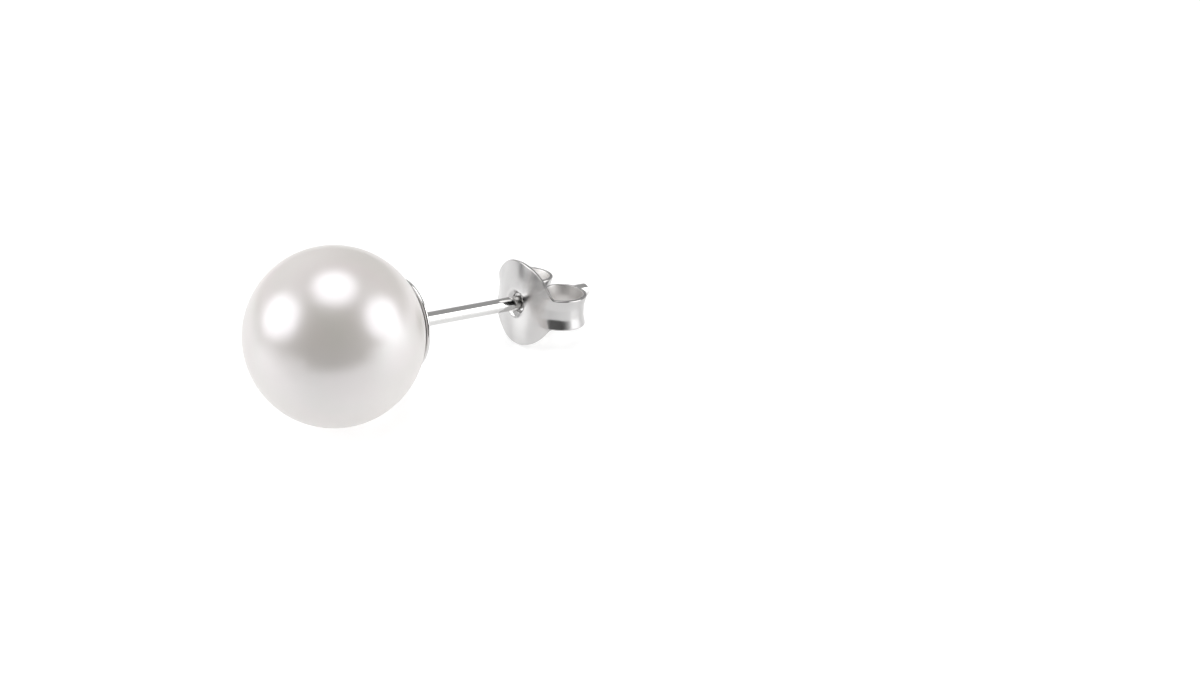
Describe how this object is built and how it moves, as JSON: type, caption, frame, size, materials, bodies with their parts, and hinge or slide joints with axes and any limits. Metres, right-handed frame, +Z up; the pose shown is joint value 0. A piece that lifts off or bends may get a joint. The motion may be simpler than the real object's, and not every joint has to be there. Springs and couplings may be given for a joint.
{
  "type": "pearl stud earring",
  "caption": "Stud earring: a round pearl glued in a shallow cup on a straight post, with a scrolled butterfly back that slides along the post.",
  "frame": {"origin": "on the surface that the earring rests on, under the middle of its bounding box", "axes": "+Z up; +X along the post's level direction, from the pearl towards the post's tip; the XZ plane is the mirror plane"},
  "size_m": [0.022, 0.01, 0.01],
  "materials": {
    "nacre": "white nacre with a soft deep lustre and a faint rose and green overtone",
    "post_metal": null,
    "clutch_metal": "polished stamped white sheet metal, taken as silver, with slight pressing marks and greyer cut edges"
  },
  "bodies": {
    "stud": {"pearl": "nacre", "post_and_cup": "post_metal"},
    "clutch": {"butterfly_back": "clutch_metal"}
  },
  "joints": [
    {"name": "clutch_slide", "type": "slide", "parent": "stud", "child": "clutch", "axis": [0.9779, 0, -0.209], "range_m": [-0.0067, 0.0043]}
  ]
}
